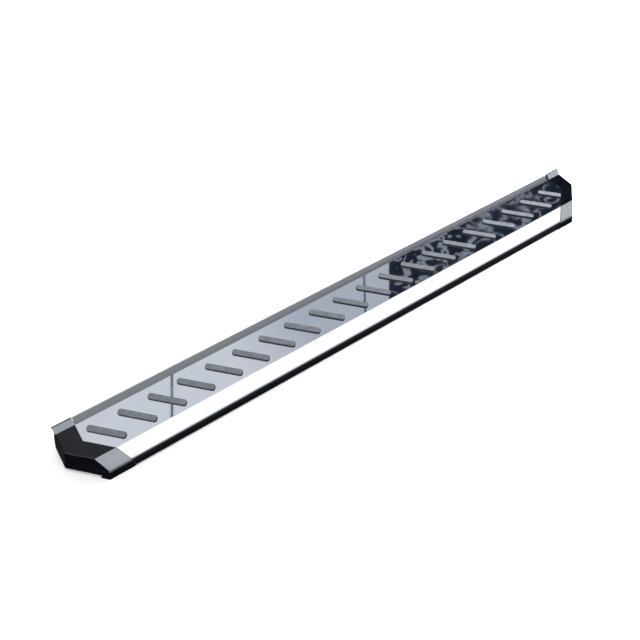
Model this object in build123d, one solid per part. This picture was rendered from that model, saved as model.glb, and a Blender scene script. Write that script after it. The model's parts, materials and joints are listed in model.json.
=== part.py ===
from build123d import *
from math import atan2, cos, hypot, pi, radians, sin, tan
import os

os.makedirs("parts", exist_ok=True)

# A running board: an aluminium extrusion clad in a polished cover, with rubber tread
# pads, a rear rail, a front skirt and a moulded cap on each end.
# X runs along the board, -Y is the front (away from the vehicle), +Z is up.
# The origin is the centre of the board at the level of its feet.
# Sections are drawn in (u, v): u is the distance behind the front fold of the cover,
# v the height above the cover's tread face. Ends are drawn in (s, u): s is the distance
# inboard from the end of the cover. All values are millimetres.

# ---- overall ----
TREAD_Z = 75.0            # tread face above the feet
COVER_HALF = 940.0        # centre of the board to the cover's straight end
FRONT_REACH = 41.0        # front fold to the front of the cap's foot
RAIL_BACK = 144.0         # front fold to the top edge of the rail and of the lips
EDGE_T = 3.2              # thickness of the dark edging on the rail and lips
EDGE_BITE = 0.8           # how far the edging reaches in front of the rail's top edge
REAR_REACH = RAIL_BACK - EDGE_BITE + EDGE_T
FOLD_Y = (FRONT_REACH - REAR_REACH) / 2

# ---- polished cover ----
COVER_T = 1.2
TREAD_W = 127.0           # front fold to the rear rail
COVER_REAR = 131.0        # the cover's rear edge, tucked under the rail
BEVEL_RUN = 36.0          # bevel, measured forwards
BEVEL_DROP = 39.5         # bevel, measured down, to the corner that is rolled
ROLL_R = 14.0
FOLD_R = 1.8
FOLD_R_MIN = 0.4          # the fold on the inside of the sheet
COVER_FOOT = -46.0        # lower edge of the cover, also the extrusion's underside
END_SETBACK = 68.0        # where the cover's end turns from straight to 45 degrees
SEAM_FOOT = (93.0, -38.0)  # foot of the seam between the bevel and the cap, in (s, u)

# ---- tread pads ----
PAD_COUNT = 20
PAD_PITCH = 93.0
FIRST_PAD_X = -875.0
PAD_SETBACK = 57.5        # front fold to the row of pad centres
PAD_L = 116.0
PAD_W = 19.5
PAD_CORNER_R = 7.5
PAD_RISE = 5.0
PAD_ANGLE = -45.0
PAD_EDGE_R = 1.5
FLANGE_LIP = 2.5          # how far the hidden flange reaches past the slot
FLANGE_T = 1.5
SLOT_GAP = 0.2
SLOT_CUT = 5.0            # reach of the slot cutters above and below the tread

# ---- extrusion ----
FRAME_END = 842.0
FRAME_REAR = 137.5
DECK_T = 2.7
WALL_T = 2.8
WEB_T = 2.5
RECESS_FRONT = 8.0        # the deck's sunk middle, which takes the pads' flanges
RECESS_REAR = 110.0
RECESS_D = 1.6
WEB_U = (5.0, 62.0, 119.0)
BOSS_V = -24.0
BOSS_R = 5.5
SCREW_R = 2.4

# ---- T-slots and the bolts that slide in them ----
SLOT_U = (26.0, 98.0)
SLOT_NECK = 9.0
SLOT_LIP_T = 3.0
SLOT_W = 17.0
SLOT_H = 7.0
STATION_X = (-600.0, 0.0, 600.0)
HEAD_SIZE = (13.0, 15.5, 5.0)
HEAD_GAP = 0.4
NECK_SIZE = 7.8
STUD_R = 4.0
STUD_TIP = -71.0
STUD_CHAMFER = 0.8
NECK_PROUD = 1.2          # square neck showing under the extrusion

# ---- rear rail, and the lips that carry it on over the caps ----
RAIL_T = 2.2
RAIL_TOP = (RAIL_BACK, 10.5)  # top edge of the rail's sloping face
RAIL_FOOT_U = 135.0       # where the sloping face starts
RAIL_LEG = -26.0
RAIL_GAPS = (1.0, 8.0)    # gaps between the rail's ends and the lips, left and right
RIB_GAP = 0.6             # joint on each side of the rib that closes the right-hand gap
RIB_DROP = 1.0            # top of that rib below the top of the lip
LIP_TOP = (RAIL_BACK, 13.0)
LIP_FLARE = 2.0
LIP_LEG_TOP = 7.0         # the lip's rear leg, from here down to RAIL_LEG
EDGE_H = 2.8

# ---- front skirt ----
SKIRT_TOP = -45.3
SKIRT_FOOT = -70.0
SKIRT_T = 2.4
SKIRT_LEAN = 2.2
SKIRT_LEG_REAR = -8.0
SKIRT_SHOULDER = (1.0, 2.0)  # cut off the front of the skirt's top edge, depth and height

# ---- end caps ----
CAP_W = 56.0              # straight part of the cap's top, along the board
CAP_APEX_U = 62.0         # where the cap's outer edge turns to 45 degrees
CAP_DRAFT = 17.0          # degrees that the walls lean; the rear wall leans in below RAIL_LEG
CAP_EDGE_R = 3.0          # round along the cap's outer top edge
CAP_T = 3.0
CAP_REAR = 139.5
CAP_FOOT = -63.0
FOOT_D = 19.0             # depth of the front foot, front to back
CAP_GAP = 1.6             # joint line between the left cap and the cover
RIGHT_CAP_GAP = 3.4       # the right cap sits a little further out
CAP_LEDGE_T = 4.5
HOLLOW_FRONT = 8.0        # front of the hollow's highest part
HOLLOW_STEP = -41.0       # level where the hollow widens to the skirt
HEEL_SIZE = (100.0, 24.0, 24.0)  # rear foot
HEEL_INBOARD = 30.0       # the cover's straight end to the middle of the heel
INSERT_T = 2.2
INSERT_FOOT = -45.5

# ---- rivets ----
RIVET_COUNT = 8
RIVET_R = 2.4
RIVET_HEAD_R = 4.8
RIVET_HEAD_T = 1.4
RIVET_DOME_R = 1.1
RIVET_L = 6.2
RIVET_GAP = 0.05
RIVET_END = 50.0          # the extrusion's end to its first rivet
SKIRT_RIVET_U = -22.0
RAIL_RIVET_V = -15.0

# ---- cap screws ----
SCREW_HEAD_R = 4.5
SCREW_HEAD_T = 3.0
SCREW_HEAD_ROUND = 1.6
SCREW_L = 22.0
SCREW_SLOT = (7.0, 1.2, 2.4)

FAR = 400.0               # longer than any cut needs
OVERRUN = 1.0             # how far a cutter passes the face it cuts
TOLERANCE = 1e-4
STANDING = (Align.CENTER, Align.CENTER, Align.MIN)


def section(points):
    """Face across the board from a closed (u, v) outline."""
    outline = [(FOLD_Y + u, TREAD_Z + v) for u, v in points]
    around = zip(outline, outline[1:] + outline[:1])
    if sum(a[0] * b[1] - b[0] * a[1] for a, b in around) < 0:
        outline.reverse()
    return make_face(Plane.YZ * Polyline(*outline, close=True))


def rectangle(u0, u1, v0, v1):
    """Rectangular face across the board."""
    return section([(u0, v0), (u1, v0), (u1, v1), (u0, v1)])


def disc(u, v, radius):
    """Round face across the board."""
    return Plane.YZ * Pos(FOLD_Y + u, TREAD_Z + v) * Circle(radius)


def run(face, x0, x1):
    """Extrude a section from x0 to x1."""
    return Pos(x0, 0, 0) * extrude(face, amount=x1 - x0, dir=(1, 0, 0))


def plan_prism(points):
    """Tall upright prism over an (s, u) outline at the left end."""
    outline = [(s - COVER_HALF, FOLD_Y + u) for s, u in points]
    return extrude(Plane.XY * make_face(Polyline(*outline, close=True)), amount=FAR, both=True)


def both_ends(solid):
    """The left-hand solid and its mirror image at the right."""
    return solid, mirror(solid, about=Plane.YZ)


def envelope(inset):
    """The board's outer section, with every face moved inwards by inset."""
    bend = atan2(BEVEL_DROP, BEVEL_RUN)
    nose = (pi / 2 - bend) / 2
    fold = (inset * tan(bend / 2), -inset)
    corner = (inset - BEVEL_RUN, inset * tan(nose) - BEVEL_DROP)
    rear = FRAME_REAR + COVER_T - inset
    foot = COVER_FOOT - COVER_T + inset
    face = section([(rear, -inset), fold, corner, (corner[0], foot), (rear, foot)])
    nose_point = face.vertices().sort_by(Axis.Y)[:2].sort_by(Axis.Z)[-1]
    rolled = fillet(nose_point, ROLL_R - inset)
    fold_point = rolled.vertices().filter_by(
        lambda p: hypot(p.Y - FOLD_Y - fold[0], p.Z - TREAD_Z - fold[1]) < TOLERANCE
    )
    return fillet(fold_point, max(FOLD_R - inset, FOLD_R_MIN))


def deck_section():
    """Everything inside the cover, with the deck's middle sunk for the pads' flanges."""
    sunk = rectangle(RECESS_FRONT, RECESS_REAR, -COVER_T - RECESS_D, 0)
    return envelope(COVER_T) - sunk


def inboard_prism(gap=0.0):
    """Plan region inboard of the joint between the cover and the left cap."""
    slope = (SEAM_FOOT[0] - END_SETBACK) / -SEAM_FOOT[1]
    low = SEAM_FOOT[1] * 2
    seam = [(0, FAR), (0, END_SETBACK), (END_SETBACK, 0), (END_SETBACK - slope * low, low)]
    far_end = 3 * COVER_HALF
    return plan_prism([(s - gap, u) for s, u in seam] + [(far_end, low), (far_end, FAR)])


def pad_outline(grow=0.0):
    """Round-cornered outline of a tread pad at the origin, turned to its angle."""
    shape = RectangleRounded(PAD_L + 2 * grow, PAD_W + 2 * grow, PAD_CORNER_R + grow)
    return Rot(0, 0, PAD_ANGLE) * shape


def pad_place(index, v=0.0):
    """Location of one pad's centre at height v."""
    return Pos(FIRST_PAD_X + index * PAD_PITCH, FOLD_Y + PAD_SETBACK, TREAD_Z + v)


def top_plate():
    """Folded cover: flat tread, bevel and rolled foot, slotted for the pads."""
    strip = envelope(0) - envelope(COVER_T)
    keep = rectangle(-FRONT_REACH, COVER_REAR, COVER_FOOT, OVERRUN)
    cover = run(strip & keep, -COVER_HALF, COVER_HALF)
    for prism in both_ends(inboard_prism()):
        cover = cover & prism
    cutter = extrude(pad_outline(SLOT_GAP), amount=SLOT_CUT, both=True)
    return cover - [pad_place(i) * cutter for i in range(PAD_COUNT)]


def tread_pad(index):
    """Rubber insert: the raised pad and the flange that holds it under the cover."""
    head = extrude(pad_outline(), amount=COVER_T + PAD_RISE)
    head = fillet(head.edges().group_by(Axis.Z)[-1], PAD_EDGE_R)
    flange = extrude(pad_outline(FLANGE_LIP), amount=-FLANGE_T)
    pad = pad_place(index, -COVER_T) * (head + flange)
    if index == PAD_COUNT - 1:
        pad = pad & mirror(inboard_prism(-CAP_GAP), about=Plane.YZ)
    return pad


def hollow_cells():
    """Hollow of the extrusion, less its webs, T-slot housings and screw bosses."""
    inside = envelope(COVER_T + WALL_T) & rectangle(
        -FRONT_REACH, FRAME_REAR, COVER_FOOT, -COVER_T - RECESS_D - DECK_T)
    for u in WEB_U:
        inside -= rectangle(u - WEB_T / 2, u + WEB_T / 2, COVER_FOOT, 0)
        inside -= disc(u, BOSS_V, BOSS_R)
    for u in SLOT_U:
        half = SLOT_W / 2 + WEB_T
        inside -= rectangle(u - half, u + half, COVER_FOOT, COVER_FOOT + SLOT_LIP_T + SLOT_H + WEB_T)
    return inside


def frame_extrusion():
    """Load-carrying section with two T-slots underneath and screw ports in its webs."""
    profile = deck_section() - hollow_cells()
    roof = COVER_FOOT + SLOT_LIP_T + SLOT_H
    for u in SLOT_U:
        profile -= rectangle(u - SLOT_NECK / 2, u + SLOT_NECK / 2, COVER_FOOT - OVERRUN, roof)
        profile -= rectangle(u - SLOT_W / 2, u + SLOT_W / 2, COVER_FOOT + SLOT_LIP_T, roof)
    for u in WEB_U:
        profile -= disc(u, BOSS_V, SCREW_R)
    frame = run(profile, -FRAME_END, FRAME_END)
    holes = [rivet_hole(place) for place in skirt_rivet_places() + rail_rivet_places()]
    return frame - holes


def rivet_xs():
    """Positions of the rivets along the board."""
    pitch = 2 * (FRAME_END - RIVET_END) / (RIVET_COUNT - 1)
    return [(i - (RIVET_COUNT - 1) / 2) * pitch for i in range(RIVET_COUNT)]


def skirt_rivet_places():
    """Under the skirt's leg; the local +Z axis goes up into the extrusion."""
    v = COVER_FOOT - SKIRT_T
    return [Pos(x, FOLD_Y + SKIRT_RIVET_U, TREAD_Z + v) for x in rivet_xs()]


def rail_rivet_places():
    """On the rail's rear leg; the local +Z axis goes forwards into the extrusion."""
    face = FOLD_Y + FRAME_REAR + RAIL_T
    return [Pos(x, face, TREAD_Z + RAIL_RIVET_V) * Rot(90, 0, 0) for x in rivet_xs()]


def rivet_hole(place):
    """Hole for one rivet's shank, through the sheet and one wall of the extrusion."""
    shank = Cylinder(RIVET_R + RIVET_GAP, RIVET_L + 2 * OVERRUN, align=STANDING)
    return place * Pos(0, 0, -OVERRUN) * shank


def rivets(places):
    """Round-headed rivets, one at each place, as one group."""
    shank = Cylinder(RIVET_R, RIVET_L, align=STANDING)
    head = Pos(0, 0, -RIVET_HEAD_T) * Cylinder(RIVET_HEAD_R, RIVET_HEAD_T, align=STANDING)
    head = fillet(head.edges().sort_by(Axis.Z)[0], RIVET_DOME_R)
    rivet = head + shank
    return Compound(children=[place * rivet for place in places])


def leaning_strip(foot, top, thickness):
    """Outline of a straight strip from foot to top, with thickness behind it."""
    length = hypot(top[0] - foot[0], top[1] - foot[1])
    back = (thickness * (top[1] - foot[1]) / length, -thickness * (top[0] - foot[0]) / length)
    return [foot, top, (top[0] + back[0], top[1] + back[1]), (foot[0] + back[0], foot[1] + back[1])]


def rail_ends():
    """Where the rail starts and stops along the board."""
    return RAIL_GAPS[0] - COVER_HALF, COVER_HALF - RAIL_GAPS[1]


def rear_rail():
    """Rail with a flat foot on the cover, a leaning upstand and a leg behind the extrusion."""
    foot = rectangle(TREAD_W, FRAME_REAR + RAIL_T, 0, RAIL_T)
    leg = rectangle(FRAME_REAR, FRAME_REAR + RAIL_T, RAIL_LEG, RAIL_T)
    shelf = rectangle(COVER_REAR + CAP_GAP, FRAME_REAR, -COVER_T, 0)
    upstand = section(leaning_strip((RAIL_FOOT_U, RAIL_T), RAIL_TOP, RAIL_T))
    above = run(foot + shelf + upstand, *rail_ends())
    rail = above + run(leg, -FRAME_END, FRAME_END)
    return rail - [rivet_hole(place) for place in rail_rivet_places()]


def edging(top, x0, x1, carrier):
    """Dark edging that grips the top of a leaning strip."""
    front = top[0] - EDGE_BITE
    grip = rectangle(front, front + EDGE_T, top[1] - EDGE_H / 2, top[1] + EDGE_H / 2)
    return run(grip, x0, x1) - carrier


def front_skirt():
    """Strip that hangs below the bevel, with a leg riveted under the extrusion."""
    front = -BEVEL_RUN
    wall = section([
        (front, COVER_FOOT - SKIRT_T),
        (front, SKIRT_TOP),
        (front - SKIRT_T + SKIRT_SHOULDER[0], SKIRT_TOP),
        (front - SKIRT_T, SKIRT_TOP - SKIRT_SHOULDER[1]),
        (front - SKIRT_T - SKIRT_LEAN, SKIRT_FOOT),
        (front - SKIRT_LEAN, SKIRT_FOOT),
    ])
    leg = rectangle(front, SKIRT_LEG_REAR, COVER_FOOT - SKIRT_T, COVER_FOOT)
    skirt = run(wall + leg, -COVER_HALF, COVER_HALF)
    for prism in both_ends(inboard_prism()):
        skirt = skirt & prism
    return skirt - [rivet_hole(place) for place in skirt_rivet_places()]


def cap_walls(inset):
    """Cutting planes of the left cap's end, 45 degree and rear walls, moved in by inset."""
    lean = radians(CAP_DRAFT)
    end = Vector(-cos(lean), 0, sin(lean))
    slant = Vector(-cos(lean) * sin(pi / 4), -cos(lean) * sin(pi / 4), sin(lean))
    rear = Vector(0, cos(lean), -sin(lean))
    apex = Vector(-COVER_HALF - CAP_W, FOLD_Y + CAP_APEX_U, TREAD_Z)
    waist = Vector(0, FOLD_Y + CAP_REAR, TREAD_Z + RAIL_LEG)
    walls = ((apex, end), (apex, slant), (waist, rear))
    return [Plane(origin=point - normal * inset, z_dir=normal) for point, normal in walls]


def trim_to_walls(solid, inset=0.0):
    """Cut a solid back to the left cap's outer walls."""
    for wall in cap_walls(inset):
        solid = split(solid, bisect_by=wall, keep=Keep.BOTTOM)
    return solid


def cap_block():
    """The left cap's outer shape, with the front foot that reaches the ground."""
    front = -BEVEL_RUN
    low = -TREAD_Z
    body = envelope(0) & rectangle(-FRONT_REACH, CAP_REAR, INSERT_FOOT, 0)
    skirt = section([
        (0, INSERT_FOOT),
        (front - SKIRT_T, INSERT_FOOT),
        (-FRONT_REACH, low),
        (-FRONT_REACH + FOOT_D, low),
        (-FRONT_REACH + FOOT_D, CAP_FOOT),
        (CAP_REAR, CAP_FOOT),
        (CAP_REAR, INSERT_FOOT + OVERRUN),
        (0, INSERT_FOOT + OVERRUN),
    ])
    rear = rectangle(FRAME_REAR, CAP_REAR, INSERT_FOOT, 0)
    block = trim_to_walls(run(body + skirt + rear, -COVER_HALF - 3 * CAP_W, -FRAME_END))
    return fillet(outer_edges(block), CAP_EDGE_R)


def outer_edges(block):
    """Edges where the left cap's top and bevel meet its end wall and 45 degree wall."""
    def along(wall, low):
        return block.edges().filter_by(lambda edge: all(
            abs(wall.to_local_coords(point).Z) < TOLERANCE and point.Z > low
            for point in edge.positions((0, 0.5, 1))))

    end, slant = cap_walls(0.0)[:2]
    return along(end, TREAD_Z - TOLERANCE) + along(slant, TREAD_Z + INSERT_FOOT)


def cap_hollow():
    """The left cap's inside, open underneath."""
    front = CAP_T + INSERT_T - BEVEL_RUN
    top = envelope(CAP_T + INSERT_T) & rectangle(-FRONT_REACH, CAP_REAR - CAP_T, -TREAD_Z, -CAP_T)
    flat = rectangle(HOLLOW_FRONT, CAP_REAR - CAP_T, HOLLOW_STEP, -CAP_T)
    low = section([
        (front, HOLLOW_STEP),
        (front, CAP_FOOT + CAP_T),
        (-FRONT_REACH + FOOT_D + CAP_T, CAP_FOOT + CAP_T),
        (-FRONT_REACH + FOOT_D + CAP_T, -TREAD_Z - OVERRUN),
        (CAP_REAR - CAP_T, -TREAD_Z - OVERRUN),
        (CAP_REAR - CAP_T, HOLLOW_STEP),
    ])
    return trim_to_walls(run(top + flat + low, -COVER_HALF - 3 * CAP_W, -FRAME_END), CAP_T)


def bevel_insert(gap):
    """Satin panel that carries the bevel on over the left cap, gap away from the cover."""
    strip = envelope(0) - envelope(INSERT_T)
    keep = rectangle(-FRONT_REACH, 0, INSERT_FOOT, 0)
    panel = run(strip & keep, -COVER_HALF - CAP_W, -FRAME_END)
    return (panel - inboard_prism(gap)) & cap_block()


def cap_screw_places():
    """Screws through the left cap's inner flange; the local +Z axis goes inboard."""
    x = -FRAME_END - CAP_T
    return [Pos(x, FOLD_Y + u, TREAD_Z + BOSS_V) * Rot(0, 90, 0) for u in WEB_U]


def cap_screws():
    """Pan-head screws that hold the left cap to the extrusion."""
    head = Pos(0, 0, -SCREW_HEAD_T) * Cylinder(SCREW_HEAD_R, SCREW_HEAD_T, align=STANDING)
    head = fillet(head.edges().sort_by(Axis.Z)[0], SCREW_HEAD_ROUND)
    shank = Cylinder(SCREW_R - RIVET_GAP, SCREW_L, align=STANDING)
    slot = Pos(0, 0, -SCREW_HEAD_T) * Box(*SCREW_SLOT)
    screw = head + shank - slot
    return Compound(children=[place * screw for place in cap_screw_places()])


def rear_skin_section():
    """Section of the cap's rear wall: upright to the foot of the lip, then leaning in."""
    lean = radians(CAP_DRAFT)
    foot = CAP_REAR - (RAIL_LEG - CAP_FOOT) * tan(lean)
    return section([
        (CAP_REAR, -COVER_T),
        (CAP_REAR, RAIL_LEG),
        (foot, CAP_FOOT),
        (foot - CAP_T / cos(lean), CAP_FOOT),
        (CAP_REAR - CAP_T, RAIL_LEG + CAP_T * tan(lean / 2)),
        (CAP_REAR - CAP_T, -COVER_T),
    ])


def end_cap(gap):
    """Left cap: a drafted shell, a ledge under the cover and a flange on the extrusion."""
    insert = bevel_insert(gap)
    shell = cap_block() - cap_hollow() - inboard_prism(gap) - insert
    ledge_face = deck_section() - envelope(COVER_T + CAP_LEDGE_T)
    ledge_face &= rectangle(-FRONT_REACH, CAP_REAR, COVER_FOOT, 0)
    ledge = run(ledge_face, -COVER_HALF - CAP_T, -FRAME_END) & inboard_prism(2 * CAP_T)
    ledge = trim_to_walls(ledge, CAP_T) - insert
    flange_face = deck_section() & rectangle(-FRONT_REACH, FRAME_REAR, COVER_FOOT, 0)
    flange = run(flange_face, -FRAME_END - CAP_T, -FRAME_END)
    heel = Pos(HEEL_INBOARD - COVER_HALF, FOLD_Y + CAP_REAR, 0) * Box(
        *HEEL_SIZE, align=(Align.CENTER, Align.MAX, Align.MIN))
    skin = run(rear_skin_section(), -COVER_HALF - 2 * CAP_T, -FRAME_END - CAP_T)
    cap = shell + ledge + flange + trim_to_walls(heel) + skin
    shank = Cylinder(SCREW_R, CAP_T + 2 * OVERRUN, align=STANDING)
    return cap - [place * Pos(0, 0, -OVERRUN) * shank for place in cap_screw_places()]


def rear_lip():
    """Silver lip at the back of the left cap, with its outer end swept outwards."""
    face = section(leaning_strip((TREAD_W, 0), LIP_TOP, RAIL_T)) & rectangle(
        TREAD_W, REAR_REACH, 0, LIP_TOP[1])
    leg = rectangle(CAP_REAR, CAP_REAR + RAIL_T, RAIL_LEG, LIP_LEG_TOP)
    lip = run(face + leg, -COVER_HALF - CAP_W - LIP_FLARE, -COVER_HALF)
    foot = Vector(-COVER_HALF - CAP_W, 0, TREAD_Z)
    lean = atan2(LIP_FLARE, LIP_TOP[1])
    return split(lip, bisect_by=Plane(origin=foot, z_dir=(-cos(lean), 0, -sin(lean))), keep=Keep.BOTTOM)


def joint_rib():
    """Black rib of the right cap that fills the gap between the rail and the lip."""
    strip = section(leaning_strip((TREAD_W, 0), LIP_TOP, RAIL_T))
    face = strip & rectangle(COVER_REAR + CAP_GAP, REAR_REACH, 0, LIP_TOP[1] - RIB_DROP)
    post = rectangle(CAP_REAR - CAP_T, CAP_REAR, -COVER_T, LIP_LEG_TOP)
    return run(face + post, COVER_HALF - RAIL_GAPS[1] + RIB_GAP, COVER_HALF - RIB_GAP)


def t_bolt(x, u):
    """Bolt with a rectangular head in the T-slot, a square neck and a round stud."""
    seat = COVER_FOOT + SLOT_LIP_T + HEAD_GAP
    neck_foot = COVER_FOOT - NECK_PROUD
    head = Pos(0, 0, seat) * Box(*HEAD_SIZE, align=STANDING)
    neck = Pos(0, 0, neck_foot) * Box(NECK_SIZE, NECK_SIZE, seat - neck_foot, align=STANDING)
    stud = Pos(0, 0, STUD_TIP) * Cylinder(STUD_R, neck_foot - STUD_TIP, align=STANDING)
    stud = chamfer(stud.edges().sort_by(Axis.Z)[0], STUD_CHAMFER)
    return Pos(x, FOLD_Y + u, TREAD_Z) * (head + neck + stud)


def save(name, shape):
    """Write one sub-part under its node name."""
    shape.label = name
    export_step(shape, f"parts/{name}.step")


save("frame_extrusion", frame_extrusion())
save("top_plate", top_plate())
for number in range(PAD_COUNT):
    save(f"tread_pad_{number + 1:02d}", tread_pad(number))
RAIL = rear_rail()
save("rear_rail", RAIL)
save("rear_edge_strip", edging(RAIL_TOP, *rail_ends(), RAIL))
save("front_skirt", front_skirt())
save("rail_rivets", rivets(rail_rivet_places()))
save("skirt_rivets", rivets(skirt_rivet_places()))
LIP = rear_lip()
LIP_EDGING = edging(LIP_TOP, -COVER_HALF - CAP_W - LIP_FLARE, -COVER_HALF, LIP)
for side, gap, index in (("left", CAP_GAP, 0), ("right", RIGHT_CAP_GAP, 1)):
    save(f"rear_lip_{side}", both_ends(LIP)[index])
    save(f"lip_edge_strip_{side}", both_ends(LIP_EDGING)[index])
    save(f"cap_screws_{side}", both_ends(cap_screws())[index])
    save(f"bevel_insert_{side}", both_ends(bevel_insert(gap))[index])
    cap = both_ends(end_cap(gap))[index]
    save(f"end_cap_{side}", cap + joint_rib() if side == "right" else cap)
for station, x in zip(("left", "middle", "right"), STATION_X):
    for row, u in zip(("front", "rear"), SLOT_U):
        save(f"t_bolt_{station}_{row}", t_bolt(x, u))
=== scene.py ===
import json
from math import cos, radians, sin

import bmesh
import bpy
from mathutils import Matrix, Vector


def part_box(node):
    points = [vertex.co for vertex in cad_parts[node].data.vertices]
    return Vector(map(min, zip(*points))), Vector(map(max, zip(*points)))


# A running board on a pale studio floor. The CAD nodes keep their shapes; this script gives
# each one its finish, and sets the camera, the light and the cards that the polished cover
# mirrors. Lengths are metres in the frame's own axes: X along the board, -Y its front, Z up.
# Colours are linear RGB, and texture scales are features per metre.

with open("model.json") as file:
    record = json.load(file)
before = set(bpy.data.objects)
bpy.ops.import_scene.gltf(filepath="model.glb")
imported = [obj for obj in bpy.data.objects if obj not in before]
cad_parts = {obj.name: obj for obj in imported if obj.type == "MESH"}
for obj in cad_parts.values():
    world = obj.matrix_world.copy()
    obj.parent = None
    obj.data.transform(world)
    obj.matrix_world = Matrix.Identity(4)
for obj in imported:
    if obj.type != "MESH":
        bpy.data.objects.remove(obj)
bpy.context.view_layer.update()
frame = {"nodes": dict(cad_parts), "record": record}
nodes = frame["nodes"]

TREAD_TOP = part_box("top_plate")[1].z


# ---------------------------------------------------------------- shader helpers

class Wiring:
    """A node tree that is being wired; most methods add nodes and return an output socket."""

    def __init__(self, tree):
        self.nodes = tree.nodes
        self.links = tree.links

    def feed(self, socket, value):
        """Link an output to the socket, or set the socket's own value."""
        if isinstance(value, bpy.types.NodeSocket):
            self.links.new(value, socket)
        elif socket.type == "RGBA":
            socket.default_value = (*value, 1.0)
        else:
            socket.default_value = value

    def add(self, kind, inputs=None, **settings):
        """New node with its settings, and its inputs by socket name."""
        node = self.nodes.new("ShaderNode" + kind)
        for name, value in settings.items():
            setattr(node, name, value)
        for name, value in (inputs or {}).items():
            self.feed(node.inputs[name], value)
        return node

    def position(self, stretch=(1, 1, 1)):
        """Object-space position, scaled along each axis."""
        coords = self.add("TexCoord")
        mapping = self.add("Mapping", {"Vector": coords.outputs["Object"], "Scale": stretch})
        return mapping.outputs["Vector"]

    def noise(self, vector, scale=1.0, detail=4.0, roughness=0.55, distortion=0.0):
        """Noise from 0 to 1."""
        texture = self.add("TexNoise", {
            "Vector": vector, "Scale": scale, "Detail": detail, "Roughness": roughness,
            "Distortion": distortion})
        return texture.outputs["Fac"]

    def cells(self, vector, scale):
        """Distance from the middle of the nearest of many small cells."""
        return self.add("TexVoronoi", {"Vector": vector, "Scale": scale}).outputs["Distance"]

    def part(self, vector, axis):
        """One component of a vector."""
        return self.add("SeparateXYZ", {"Vector": vector}).outputs[axis]

    def facing(self, axis):
        """One component of the surface's normal."""
        return self.part(self.add("NewGeometry").outputs["Normal"], axis)

    def math(self, operation, first, second=0.0):
        """Result of a Math node; a function of one value ignores the second."""
        node = self.add("Math", operation=operation)
        self.feed(node.inputs[0], first)
        self.feed(node.inputs[1], second)
        return node.outputs["Value"]

    def ramp(self, factor, low, high, start=0.0, stop=1.0):
        """Value that runs from low to high as factor goes from start to stop."""
        spread = self.add("MapRange", {
            "Value": factor, "From Min": start, "From Max": stop, "To Min": low, "To Max": high})
        return spread.outputs["Result"]

    def mix(self, factor, first, second):
        """Colour between first and second."""
        blend = self.add("Mix", {"A": first, "B": second, "Factor": factor}, data_type="RGBA")
        return blend.outputs["Result"]

    def tone(self, factor, dark, light, start=0.3, stop=0.7):
        """Colour that runs from dark to light as factor goes from start to stop."""
        return self.mix(self.ramp(factor, 0.0, 1.0, start, stop), dark, light)

    # Mask for a painted highlight along edges.
    def painted_edge_highlight_mask(self, radius):
        """1 at edges, where the surface turns within the radius, and 0 on flat faces."""
        bevel = self.add("Bevel", {"Radius": radius}, samples=4)
        dot = self.add("VectorMath", operation="DOT_PRODUCT")
        self.feed(dot.inputs[0], bevel.outputs["Normal"])
        self.feed(dot.inputs[1], self.add("NewGeometry").outputs["Normal"])
        return self.ramp(dot.outputs["Value"], 1.0, 0.0, start=0.80, stop=0.995)


class Material(Wiring):
    """A material whose node tree starts with only its output."""

    def __init__(self, name):
        self.material = bpy.data.materials.new(name)
        self.material.use_nodes = True
        super().__init__(self.material.node_tree)
        self.nodes.clear()
        self.surface = self.add("OutputMaterial").inputs["Surface"]


class Finish(Material):
    """A material around one Principled shader."""

    def __init__(self, name):
        super().__init__(name)
        self.shader = self.add("BsdfPrincipled")
        self.feed(self.surface, self.shader.outputs["BSDF"])

    def look(self, colour, roughness, metallic=0.0):
        """Set the shader's colour, roughness and metallic inputs."""
        self.feed(self.shader.inputs["Base Color"], colour)
        self.feed(self.shader.inputs["Roughness"], roughness)
        self.feed(self.shader.inputs["Metallic"], metallic)

    def bump(self, height, strength, relief, under=None):
        """Relief in metres from a height, on top of another bump's normal if one is given."""
        node = self.add("Bump", {"Height": height, "Strength": strength, "Distance": relief})
        if under is not None:
            self.feed(node.inputs["Normal"], under)
        self.feed(self.shader.inputs["Normal"], node.outputs["Normal"])
        return node.outputs["Normal"]


# ---------------------------------------------------------------- finishes

def polished_steel():
    """Mirror-polished stainless sheet with faint lengthwise polishing lines and smudges."""
    steel = Finish("polished_steel")
    lines = steel.noise(steel.position((6, 900, 900)), detail=5.0, roughness=0.6)
    smudge = steel.noise(steel.position((3, 8, 8)), detail=3.0)
    tint = steel.tone(smudge, dark=(0.80, 0.82, 0.86), light=(0.85, 0.86, 0.89),
                      start=0.35, stop=0.65)
    scratched = steel.ramp(lines, 0.005, 0.03)
    smeared = steel.ramp(smudge, 0.0, 0.03, start=0.4, stop=0.75)
    steel.look(tint, steel.math("ADD", scratched, smeared), metallic=1.0)
    steel.bump(lines, strength=0.02, relief=0.00002)
    return steel.material


def tread_rubber():
    """Moulded black rubber with a pebbled top, painted a lighter cloudy grey on its upward faces:
    painted light on the tops and painted shade on the black walls.
    """
    rubber = Finish("tread_rubber")
    place = rubber.position()
    grain = rubber.noise(place, scale=900.0, detail=3.0, roughness=0.6)
    cloud = rubber.noise(place, scale=60.0, detail=3.0)
    pebbles = rubber.cells(place, scale=420.0)
    painted_lit_top_grey = rubber.tone(cloud, dark=(0.080, 0.090, 0.104), light=(0.118, 0.131, 0.149))
    # Upward faces take the cloudy grey and the walls stay black: painted light and shade, set by
    # which way a face turns.
    painted_top_light_mask = rubber.ramp(rubber.facing("Z"), 0.0, 1.0, start=0.88, stop=0.995)
    black = (0.006, 0.0065, 0.008)
    rubber.look(rubber.mix(painted_top_light_mask, black, painted_lit_top_grey), rubber.ramp(grain, 0.38, 0.62))
    pebbled = rubber.bump(pebbles, strength=0.5, relief=0.0003)
    rubber.bump(grain, strength=0.35, relief=0.00015, under=pebbled)
    return rubber.material


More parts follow.
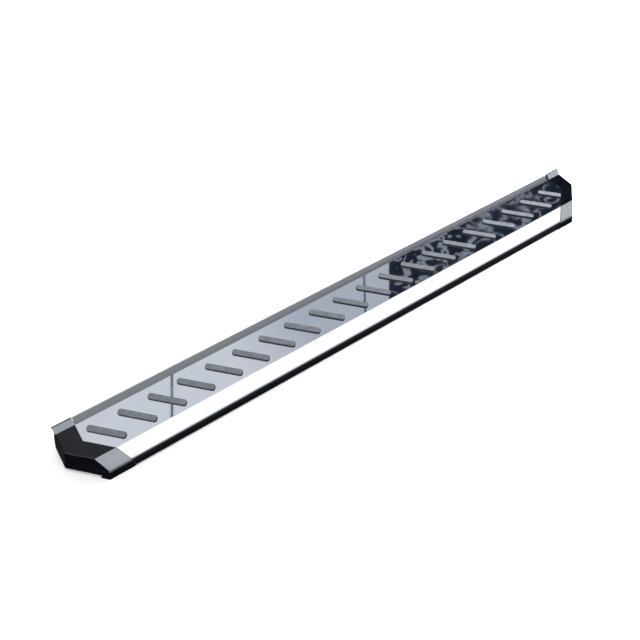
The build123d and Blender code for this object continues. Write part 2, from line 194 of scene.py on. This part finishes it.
def anodised(name, dark, light, roughness, metallic):
    """Extruded aluminium with a satin anodised face and fine drawn lines along the board."""
    metal = Finish(name)
    lines = metal.noise(metal.position((2, 1400, 1400)), roughness=0.65)
    cloud = metal.noise(metal.position((4, 20, 20)), detail=3.0)
    metal.look(metal.tone(lines, dark, light),
               metal.ramp(cloud, roughness - 0.06, roughness + 0.08), metallic)
    metal.shader.inputs["Anisotropic"].default_value = 0.4
    metal.bump(lines, strength=0.15, relief=0.00006)
    return metal.material


def gloss_black():
    """Black moulded plastic: glossy, with faint orange peel, dust and a painted highlight along
    its edges.
    """
    plastic = Finish("gloss_black")
    place = plastic.position()
    dust = plastic.noise(place, scale=35.0, detail=6.0, roughness=0.7)
    peel = plastic.noise(place, scale=260.0, detail=2.0)
    dusty = plastic.tone(dust, dark=(0.001, 0.0015, 0.0026), light=(0.003, 0.004, 0.006),
                         start=0.45, stop=0.8)
    # The edges are painted paler: a painted highlight along the caps' rounded edges.
    painted_edge_highlight = (0.05, 0.054, 0.062)
    plastic.look(plastic.mix(plastic.painted_edge_highlight_mask(radius=0.001), dusty, painted_edge_highlight),
                 plastic.ramp(dust, 0.08, 0.20, start=0.3, stop=0.8))
    plastic.shader.inputs["Specular IOR Level"].default_value = 0.38
    plastic.bump(peel, strength=0.08, relief=0.0002)
    return plastic.material


def grained_black():
    """Black skirt plastic with a fine satin grain."""
    plastic = Finish("grained_black")
    grain = plastic.noise(plastic.position(), scale=1300.0, detail=3.0, roughness=0.6)
    cloud = plastic.noise(plastic.position((2, 12, 12)), detail=3.0)
    plastic.look(plastic.tone(cloud, dark=(0.0015, 0.0017, 0.0025), light=(0.004, 0.0043, 0.0055)),
                 plastic.ramp(grain, 0.38, 0.6))
    plastic.shader.inputs["Specular IOR Level"].default_value = 0.25
    plastic.bump(grain, strength=0.3, relief=0.0001)
    return plastic.material


def satin_silver():
    """Silver lacquer with fine metal flake; faces that turn along the board are painted black and
    not metallic, painted shade for the insert's shadowed end faces.
    """
    lacquer = Finish("satin_silver")
    place = lacquer.position()
    flake = lacquer.cells(place, scale=1500.0)
    cloud = lacquer.noise(place, scale=18.0, detail=3.0)
    silver = lacquer.tone(cloud, dark=(0.32, 0.335, 0.365), light=(0.39, 0.405, 0.435))
    # Faces turned along the board, the insert's ends, are painted black: painted shade for their
    # shadowed end faces.
    endwise = lacquer.math("ABSOLUTE", lacquer.facing("X"))
    painted_end_shade = lacquer.ramp(endwise, 0.0, 1.0, start=0.5, stop=0.6)
    black = (0.008, 0.008, 0.009)
    lacquer.look(lacquer.mix(painted_end_shade, silver, black), lacquer.ramp(flake, 0.30, 0.44),
                 lacquer.ramp(painted_end_shade, 0.75, 0.0))
    lacquer.bump(flake, strength=0.1, relief=0.00005)
    return lacquer.material


def edging_rubber(name, dark, light):
    """Matt rubber edging, paler where it has weathered."""
    rubber = Finish(name)
    place = rubber.position()
    grain = rubber.noise(place, scale=1100.0, detail=3.0, roughness=0.6)
    weathered = rubber.noise(place, scale=30.0)
    rubber.look(rubber.mix(weathered, dark, light), rubber.ramp(grain, 0.5, 0.75))
    rubber.bump(grain, strength=0.3, relief=0.0001)
    return rubber.material


def zinc_plate():
    """Zinc-plated steel with a mottled, slightly warm passivated face."""
    zinc = Finish("zinc_plate")
    mottle = zinc.noise(zinc.position(), scale=240.0, detail=5.0, roughness=0.65)
    zinc.look(zinc.tone(mottle, dark=(0.55, 0.56, 0.57), light=(0.74, 0.73, 0.68)),
              zinc.ramp(mottle, 0.22, 0.42), metallic=0.6)
    zinc.bump(mottle, strength=0.15, relief=0.0001)
    return zinc.material


FINISHES = {
    "mirror_steel": polished_steel(),
    "tread_rubber": tread_rubber(),
    "extrusion_aluminium": anodised("mill_aluminium", dark=(0.58, 0.59, 0.60),
                                    light=(0.70, 0.71, 0.72), roughness=0.34, metallic=0.45),
    "rail_aluminium": anodised("rail_anodising", dark=(0.21, 0.22, 0.235),
                               light=(0.27, 0.28, 0.30), roughness=0.28, metallic=0.85),
    "edging_rubber": edging_rubber("rail_edging", dark=(0.20, 0.205, 0.21),
                                   light=(0.30, 0.305, 0.31)),
    "skirt_plastic": grained_black(),
    "gloss_black": gloss_black(),
    "satin_silver": satin_silver(),
    "zinc_steel": zinc_plate(),
}
DARK_EDGING = edging_rubber("lip_edging", dark=(0.03, 0.032, 0.038), light=(0.055, 0.058, 0.066))

for subpart in frame["record"]["subparts"]:
    mesh = nodes[subpart["node"]].data
    mesh.materials.clear()
    on_lip = subpart["node"].startswith("lip_edge_strip")
    mesh.materials.append(DARK_EDGING if on_lip else FINISHES[subpart["material_slot"]])


# ---------------------------------------------------------------- camera

CAMERA_AZIMUTH = radians(-36.2)
CAMERA_ELEVATION = radians(54.24)
CAMERA_ROLL = radians(2.73)
CAMERA_PLACE = Vector((-0.8707, -0.9707, 1.7469))
CAMERA_LENS = 36.6          # millimetres, as is the sensor's width
CAMERA_SENSOR = 36.0

camera_data = bpy.data.cameras.new("camera")
camera_data.sensor_width = CAMERA_SENSOR
camera_data.lens = CAMERA_LENS
camera = bpy.data.objects.new("camera", camera_data)
bpy.context.scene.collection.objects.link(camera)
forward = Vector((-sin(CAMERA_AZIMUTH) * cos(CAMERA_ELEVATION),
                  cos(CAMERA_AZIMUTH) * cos(CAMERA_ELEVATION),
                  -sin(CAMERA_ELEVATION)))
level = forward.cross(Vector((0, 0, 1))).normalized()
upright = level.cross(forward)
right = level * cos(CAMERA_ROLL) + upright * sin(CAMERA_ROLL)
above = right.cross(forward)
camera.matrix_world = Matrix.Translation(CAMERA_PLACE) @ Matrix(
    (right, above, -forward)).transposed().to_4x4()
bpy.context.scene.camera = camera


# ---------------------------------------------------------------- stage

FLOOR_HALF = 12.0
FLOOR_COLOUR = (0.92, 0.92, 0.925)
DOME_RADIUS = 11.5


def shaded(colour, share):
    """A colour made darker."""
    return tuple(channel * share for channel in colour)


def floor_material():
    """Plain matt surface, clear from underneath."""
    matt = Finish("floor")
    mottle = matt.noise(matt.position(), scale=3.0)
    matt.look(matt.mix(mottle, shaded(FLOOR_COLOUR, 0.98), FLOOR_COLOUR), roughness=0.9)
    matt.shader.inputs["Specular IOR Level"].default_value = 0.0
    clear = matt.add("BsdfTransparent")
    sides = matt.add("MixShader", {"Fac": matt.add("NewGeometry").outputs["Backfacing"]})
    matt.feed(sides.inputs[1], matt.shader.outputs["BSDF"])
    matt.feed(sides.inputs[2], clear.outputs["BSDF"])
    matt.feed(matt.surface, sides.outputs["Shader"])
    return matt.material


def glowing(name, paint):
    """Material that only shines; paint makes its colour socket in the material's wiring."""
    card = Material(name)
    light = card.add("Emission", {"Color": paint(card)})
    card.feed(card.surface, light.outputs["Emission"])
    return card.material


def flat_glow(colour):
    """Even glow with a faint drift."""
    def paint(card):
        drift = card.noise(card.position(), scale=0.8, detail=1.0)
        return card.mix(drift, shaded(colour, 0.97), colour)
    return paint


def plane(name, corners, material, card=False):
    """Flat stage piece from its corners; a card is seen only in reflections."""
    sheet = bpy.data.meshes.new(name)
    sheet.from_pydata([tuple(c) for c in corners], [], [tuple(range(len(corners)))])
    sheet.materials.append(material)
    piece = bpy.data.objects.new(name, sheet)
    bpy.context.scene.collection.objects.link(piece)
    if card:
        piece.visible_camera = False
        piece.visible_diffuse = False
        piece.visible_shadow = False
    return piece


floor = plane("floor", [(-FLOOR_HALF, -FLOOR_HALF, 0), (FLOOR_HALF, -FLOOR_HALF, 0),
                        (FLOOR_HALF, FLOOR_HALF, 0), (-FLOOR_HALF, FLOOR_HALF, 0)],
              floor_material())
floor.visible_glossy = False

# A pale dome lights everything evenly and is the background; reflections don't see it.
dome_mesh = bpy.data.meshes.new("dome")
builder = bmesh.new()
bmesh.ops.create_uvsphere(builder, u_segments=64, v_segments=32, radius=DOME_RADIUS)
builder.to_mesh(dome_mesh)
builder.free()
dome_mesh.materials.append(glowing("dome", flat_glow((1.0, 1.0, 1.0))))
dome = bpy.data.objects.new("dome", dome_mesh)
bpy.context.scene.collection.objects.link(dome)
dome.visible_glossy = False


# ---------------------------------------------------------------- overhead cards

# The polished tread mirrors a row of cards overhead. Places on them are given as the places
# on the tread where the camera sees them, and carried up to the cards' height.
CARD_HEIGHT = 3.0
CARD_SCALE = (CARD_HEIGHT + CAMERA_PLACE.z - 2 * TREAD_TOP) / (CAMERA_PLACE.z - TREAD_TOP)
CARD_FRONT, CARD_BACK = -0.8, 0.9      # reach of the cards across the tread
CARD_LEFT, CARD_RIGHT = -2.0, 3.2      # and along it
TREAD_REAR, TREAD_FRONT = 0.0743, -0.0527

# Borders and seams are given by their x at the tread's rear and at its front.
PALE_END = (0.1725, 0.0749)
SEAMS = {"near_seam": (-0.643, -0.706), "far_seam": (0.063, -0.025)}
SEAM_WIDTH = 0.0075
SEAM_LIFT = 0.01                       # the seams hang just under the cards
SEAM_COLOUR = (0.07, 0.08, 0.10)

PALE_LEFT, PALE_RIGHT = (0.66, 0.695, 0.74), (0.45, 0.49, 0.56)
PALE_FADE = (-0.45, -0.20)             # x where the pale card starts and stops darkening
NAVY, PATCH_GREY = (0.013, 0.019, 0.032), (0.24, 0.27, 0.32)
PATCH_SCALE = 13.0
PATCH_CURL = 1.2
PATCH_EDGE = (0.025, 0.055)            # half width of a patch's stroke, full and faded out
PATCHES_END = (0.90, 0.93)             # x where the patches fade out


def overhead(x, y, lift=0.0):
    """Point of a card that the camera sees mirrored at (x, y) of the tread."""
    return (CAMERA_PLACE.x + (x - CAMERA_PLACE.x) * CARD_SCALE,
            CAMERA_PLACE.y + (y - CAMERA_PLACE.y) * CARD_SCALE,
            CARD_HEIGHT - lift)


def tread_place(card):
    """The tread position that a point of an overhead card is mirrored at."""
    coords = card.add("TexCoord")
    place = card.add("Mapping", {
        "Vector": coords.outputs["Object"],
        "Scale": (1 / CARD_SCALE, 1 / CARD_SCALE, 0),
        "Location": (CAMERA_PLACE.x * (1 - 1 / CARD_SCALE),
                     CAMERA_PLACE.y * (1 - 1 / CARD_SCALE), 0)})
    return place.outputs["Vector"]


def pale_paint(card):
    """Light grey that darkens towards the middle of the board."""
    return card.tone(card.part(tread_place(card), "X"), PALE_LEFT, PALE_RIGHT, *PALE_FADE)


def dark_paint(card):
    """Near-black navy with soft curling pale patches, drawn along a noise's middle level."""
    place = tread_place(card)
    curls = card.noise(place, PATCH_SCALE, detail=1.0, roughness=0.5, distortion=PATCH_CURL)
    off_middle = card.math("ABSOLUTE", card.math("SUBTRACT", curls, 0.5))
    stroke = card.ramp(off_middle, 1.0, 0.0, *PATCH_EDGE)
    before_end = card.ramp(card.part(place, "X"), 1.0, 0.0, *PATCHES_END)
    return card.mix(card.math("MULTIPLY", stroke, before_end), NAVY, PATCH_GREY)


def border(ends, offset=0.0):
    """Straight line across the tread through its x at the rear and at the front."""
    slope = (ends[0] - ends[1]) / (TREAD_REAR - TREAD_FRONT)
    return lambda y: (ends[1] + (y - TREAD_FRONT) * slope + offset, y)


def band(name, paint, left, right, lift=0.0):
    """Overhead card between two borders."""
    places = (left(CARD_FRONT), right(CARD_FRONT), right(CARD_BACK), left(CARD_BACK))
    return plane(name, [overhead(*place, lift) for place in places],
                 glowing(name, paint), card=True)


band("pale_card", pale_paint, border((CARD_LEFT, CARD_LEFT)), border(PALE_END))
band("dark_card", dark_paint, border(PALE_END), border((CARD_RIGHT, CARD_RIGHT)))
for seam, ends in SEAMS.items():
    band(seam, flat_glow(SEAM_COLOUR), border(ends), border(ends, SEAM_WIDTH), SEAM_LIFT)


# ---------------------------------------------------------------- upright cards

FRONT_LEFT, FRONT_RIGHT = (-4.5, -3.2), (6.5, -3.2)
SIDE_FRONT, SIDE_BACK = (-3.2, -2.6), (-3.6, 1.2)
BEVEL_CARD = (1.22, 1.95)              # heights that the bevel mirrors
ROLL_CARD = (-0.5, 1.22)               # and those for the roll under it
SIDE_CARD = (0.4, 0.85)


def wall(name, start, end, heights, colour):
    """Upright card from one place on the floor to another, between two heights."""
    low, high = heights
    corners = [(*start, low), (*end, low), (*end, high), (*start, high)]
    return plane(name, corners, glowing(name, flat_glow(colour)), card=True)


wall("front_card", FRONT_LEFT, FRONT_RIGHT, BEVEL_CARD, (1.25, 1.25, 1.27))
wall("low_card", FRONT_LEFT, FRONT_RIGHT, ROLL_CARD, (0.62, 0.65, 0.70))
wall("side_card", SIDE_FRONT, SIDE_BACK, SIDE_CARD, (11.0, 11.4, 12.0))


# ---------------------------------------------------------------- light

HORIZON_GREY, SKY_GREY = (0.035, 0.037, 0.044), (0.62, 0.64, 0.68)
SKY_RISE = 0.45                        # height of a unit direction where the sky is full grey


def area_light(name, place, target, size, power):
    """Soft rectangular light at place, facing target, unseen in reflections."""
    data = bpy.data.lights.new(name, "AREA")
    data.shape = "RECTANGLE"
    data.size, data.size_y = size
    data.energy = power
    light = bpy.data.objects.new(name, data)
    bpy.context.scene.collection.objects.link(light)
    light.location = place
    light.rotation_mode = "QUATERNION"
    light.rotation_quaternion = (Vector(target) - Vector(place)).to_track_quat("-Z", "Y")
    light.visible_camera = False
    light.visible_glossy = False


# The world is what reflections see past the cards: dark at the horizon, grey overhead.
world = bpy.data.worlds.new("studio")
bpy.context.scene.world = world
world.use_nodes = True
sky = Wiring(world.node_tree)
skyward = sky.part(sky.add("TexCoord").outputs["Generated"], "Z")
background = sky.nodes["Background"]
sky.feed(background.inputs["Color"], sky.tone(skyward, HORIZON_GREY, SKY_GREY, 0.0, SKY_RISE))
world.cycles.sampling_method = "NONE"

area_light("top_light", (-0.6, -0.4, 3.4), target=(0, 0, 0), size=(3.4, 2.4), power=40)
area_light("far_light", (1.3, 0.2, 1.2), target=(0.8, 0, 0), size=(0.9, 0.9), power=43)

bpy.context.scene.view_settings.view_transform = "Standard"
